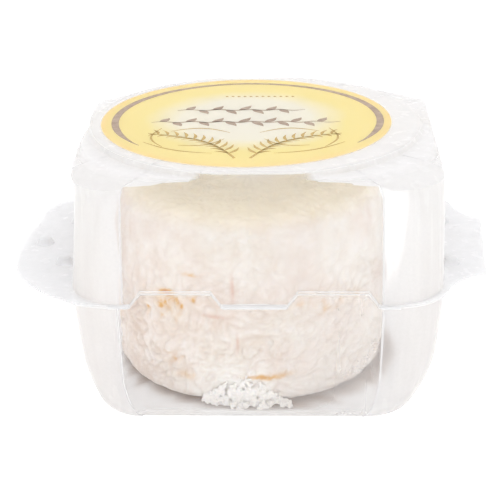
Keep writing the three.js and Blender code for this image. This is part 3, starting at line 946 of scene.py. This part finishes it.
def makeLabelPaper(plan):
    # Coated label paper, printed: smooth with a soft gloss, faintly uneven where fibres lie under the
    # coating, and inked from a pale middle out to a warm yellow edge.
    material, tree = startMaterial("coated_paper_printed")
    place = addNode(tree, "TexCoord", give="Object")
    shifted = addNode(tree, "VectorMath", {0: place, 1: labelCentre * mm}, operation="SUBTRACT")
    flat = addNode(tree, "VectorMath", {0: shifted, 1: (1, 1, 0)}, operation="MULTIPLY")
    away = addNode(tree, "VectorMath", {0: flat}, operation="LENGTH", give="Value")
    share = addNode(tree, "Math", {0: away, 1: labelRadius * mm}, operation="DIVIDE")
    cloud = addNode(tree, "TexNoise", {"Vector": place, "Scale": 1 / (9 * mm), "Detail": 3.0})
    cloud = addNode(tree, "MapRange", {"Value": cloud, "To Min": -0.06, "To Max": 0.06})
    share = addNode(tree, "Math", {0: share, 1: cloud}, operation="ADD")
    stops = [(0.0, plan["middle"]), (plan["paleTo"], plan["pale"]), (0.7, plan["yellow"]),
             (0.93, plan["deep"]), (1.0, plan["edge"])]
    ink = addNode(tree, "ValToRGB", {"Fac": share}, stops)
    fibres = addNode(tree, "TexNoise", {"Vector": place, "Scale": 1 / (plan["fibre"] * mm), "Detail": 4.0,
                                        "Distortion": 1.5})
    rough = addNode(tree, "MapRange", {"Value": fibres, "To Min": 0.34, "To Max": 0.5})
    bump = addNode(tree, "Bump", {"Height": fibres, "Distance": 0.02 * mm, "Strength": 0.5})
    shader = addNode(tree, "BsdfPrincipled", {"Base Color": ink, "Roughness": rough, "IOR": 1.5,
                                              "Coat Weight": 0.15, "Coat Roughness": 0.3,
                                              "Normal": bump})
    onward = addNode(tree, "BsdfTranslucent", {"Color": srgb(plan["back"])})
    sheet = addNode(tree, "MixShader", {0: plan["through"], 1: shader, 2: onward})
    addNode(tree, "OutputMaterial", {"Surface": sheet})
    return material


def makeInk(name, dark, light):
    # Printing ink on coated paper: thin, a little paler where the screen left less of it.
    material, tree = startMaterial(name)
    place = addNode(tree, "TexCoord", give="Object")
    cover = addNode(tree, "TexNoise", {"Vector": place, "Scale": 1 / (1.4 * mm), "Detail": 3.0})
    colour = addNode(tree, "ValToRGB", {"Fac": cover}, [(0.3, dark), (0.75, light)])
    shader = addNode(tree, "BsdfPrincipled", {"Base Color": colour, "Roughness": 0.45, "IOR": 1.5})
    addNode(tree, "OutputMaterial", {"Surface": shader})
    return material


def makeLabel(material):
    centre, radius, low, high = labelCentre, labelRadius, labelLow.z, labelHigh.z
    turns = np.linspace(0, 2 * np.pi, 160, endpoint=False)
    outline = [(radius - 0.03, low), (radius, low + 0.03), (radius, high - 0.04), (radius - 0.04, high)]
    outline += [(radius * size, high) for size in (0.985, 0.94, 0.85, 0.7, 0.5, 0.3, 0.12)]
    outline = [(radius * size, low) for size in (0.12, 0.5, 0.85)] + outline
    points = [(centre.x + r * math.cos(t), centre.y + r * math.sin(t), z) for r, z in outline for t in turns]
    count = len(turns)
    faces = bands(len(outline), count)
    faces.append(list(range(count))[::-1])
    faces.append([(len(outline) - 1) * count + i for i in range(count)])
    piece = makeMesh("label_paper_disc", points, faces, material)
    return smoothShade(piece, 40)


def stroke(path, widths):
    # one inked line: a flat strip of changing width along a path, as a thin closed solid
    path = np.asarray(path, float)
    along = np.gradient(path, axis=0)
    along /= np.maximum(np.linalg.norm(along, axis=1, keepdims=True), 1e-9)
    side = np.column_stack([-along[:, 1], along[:, 0]]) * np.asarray(widths)[:, None] / 2
    centre = np.array(labelCentre)
    low, high = labelHigh.z - 0.01, labelHigh.z + labelPlan["printRise"]
    points, faces = [], []
    for i, (point, out) in enumerate(zip(path, side)):
        for sign, z in ((1, low), (-1, low), (-1, high), (1, high)):
            points.append((*(point + sign * out + centre[:2]), z))
        if i:
            a, b = 4 * (i - 1), 4 * i
            faces += [[a + k, b + k, b + (k + 1) % 4, a + (k + 1) % 4] for k in range(4)]
    faces += [[0, 1, 2, 3], [4 * len(path) - 1, 4 * len(path) - 2, 4 * len(path) - 3, 4 * len(path) - 4]]
    return points, faces


def bow(start, end, sag, count=14):
    # a curved path between two points that bows out sideways by sag
    start, end = np.array(start, float), np.array(end, float)
    run = end - start
    side = np.array((-run[1], run[0])) / max(np.linalg.norm(run), 1e-9)
    t = np.linspace(0, 1, count)[:, None]
    return start + run * t + side * sag * np.sin(np.pi * t)


def leaf(start, angle, length, width, sag=0.0):
    turn = math.radians(angle)
    end = (start[0] + length * math.cos(turn), start[1] + length * math.sin(turn))
    path = bow(start, end, sag)
    return path, 0.06 + width * np.sin(np.pi * np.linspace(0, 1, len(path)) ** 0.8) ** 1.2


def joinStrokes(name, strokes, material):
    points, faces = [], []
    for path, widths in strokes:
        more, sides = stroke(path, widths)
        faces += [[len(points) + i for i in side] for side in sides]
        points += more
    return makeMesh(name, points, faces, material)


def makePrint(dark, gold):
    plan = labelPlan
    turns = np.radians(np.linspace(-36, 220, 120))
    share = np.linspace(0, 1, len(turns))
    ring = np.stack([np.cos(turns), np.sin(turns)], 1) * plan["ring"] + (0.3, 0)
    widths = plan["ringWidth"] * (0.62 + 0.38 * np.abs(np.cos(turns)) ** 1.5)
    widths = widths * softStep(-0.02, 0.1, np.minimum(share, 1 - share))
    arc = joinStrokes("label_ring", [(ring, widths + 0.05)], dark)
    bold = []
    for y, middleX, reachX in ((plan["row"][0], 0, 19.5), (plan["row"][1], -1.2, 13.5)):
        across = np.linspace(-reachX, reachX, 12 * round(reachX / 3) + 1)
        stem = np.stack([across + middleX, y + 0.35 * np.sin(across)], 1)
        bold.append((stem, 0.1 + 0.4 * np.sqrt(1 - (across / reachX) ** 2)))
        for i in range(3, len(stem) - 6, 5):
            size = 4.3 - 1.3 * abs(across[i] / reachX)
            bold.append(leaf(stem[i], 52 if i % 2 else -52, size, 1.5, -0.3 if i % 2 else 0.3))
    rows = joinStrokes("label_leaf_rows", bold, dark)
    thin = []
    for side in (-1, 1):
        stem = bow((side * 1.5, -25.0), (side * 19.5, -9.5), side * 3.6, 26)
        thin.append((stem, np.linspace(0.55, 0.25, len(stem))))
        for i in range(3, 25, 2):
            heading = math.degrees(math.atan2(*(stem[i] - stem[i - 1])[::-1]))
            for turn, size in ((side * 52, 4.4), (-side * 40, 3.2)):
                thin.append(leaf(stem[i], heading + turn, size - 0.05 * i, 0.6, 0.4 * side))
        for start, end, sag in (((3, -9), (15, -8), 2.4), ((4, -13), (13, -17), -2.0),
                                ((17, -6), (16, -18), 2.2), ((6, -22), (20, -15), -1.6)):
            path = bow((side * start[0], start[1]), (side * end[0], end[1]), sag * side)
            thin.append((path, 0.1 + 0.32 * np.sin(np.pi * np.linspace(0, 1, len(path)))))
    sprigs = joinStrokes("label_grass_sprigs", thin, gold)
    small = [leaf((x, 16.6), 0, 0.7, 0.6) for x in np.arange(-5, 10, 1.3)]
    faint = joinStrokes("label_small_row", small, gold)
    return [arc, rows, sprigs, faint]


def settlePiece(piece, body, slotName, *nodes):
    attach(piece, body)
    if nodes:
        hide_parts(*nodes)


placeCamera(cameraPlan)
placeLights(lightPlan)
makeFloor(floorPlan)
print("stage: camera, light and floor are in place")

sheetMaterial = makeClearSheet(clearSheet)
settlePiece(makeTray(sheetMaterial), "tray", "clear_sheet", "base_tray")
settlePiece(makeLid(sheetMaterial), "lid", "clear_sheet", "lid")
print("stage: tray and lid are formed")

for name, (fromX, toX) in {
        "middle": hingePlan["middle"],
        "left": (-hingePlan["outer"][1], -hingePlan["outer"][0]),
        "right": hingePlan["outer"]}.items():
    web = makeHinge(f"living_hinge_{name}", fromX, toX, sheetMaterial)
    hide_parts(f"hinge_{name}")
    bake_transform(web)
print("stage: hinges are folded")

rindMaterial = makeRind(rindPlan)
settlePiece(makeCheese(rindMaterial), "tray", "rind", "cheese")
for number in range(1, 5):
    node = f"rind_crumb_{number}"
    settlePiece(makeCrumb(f"crumb_{number}", node, rindMaterial), "tray", "rind", node)
settlePiece(makeFringe(rindMaterial), "tray", "rind")
print("stage: cheese and crumbs are moulded")

settlePiece(makeLabel(makeLabelPaper(labelPlan)), "lid", "label_paper", "label")
darkInk = makeInk("printing_ink_umber", "#8D7562", "#B09A86")
goldInk = makeInk("printing_ink_gold", "#A8873C", "#C6A75E")
for piece in makePrint(darkInk, goldInk):
    settlePiece(piece, "lid", "label_paper")
print("stage: label is printed")
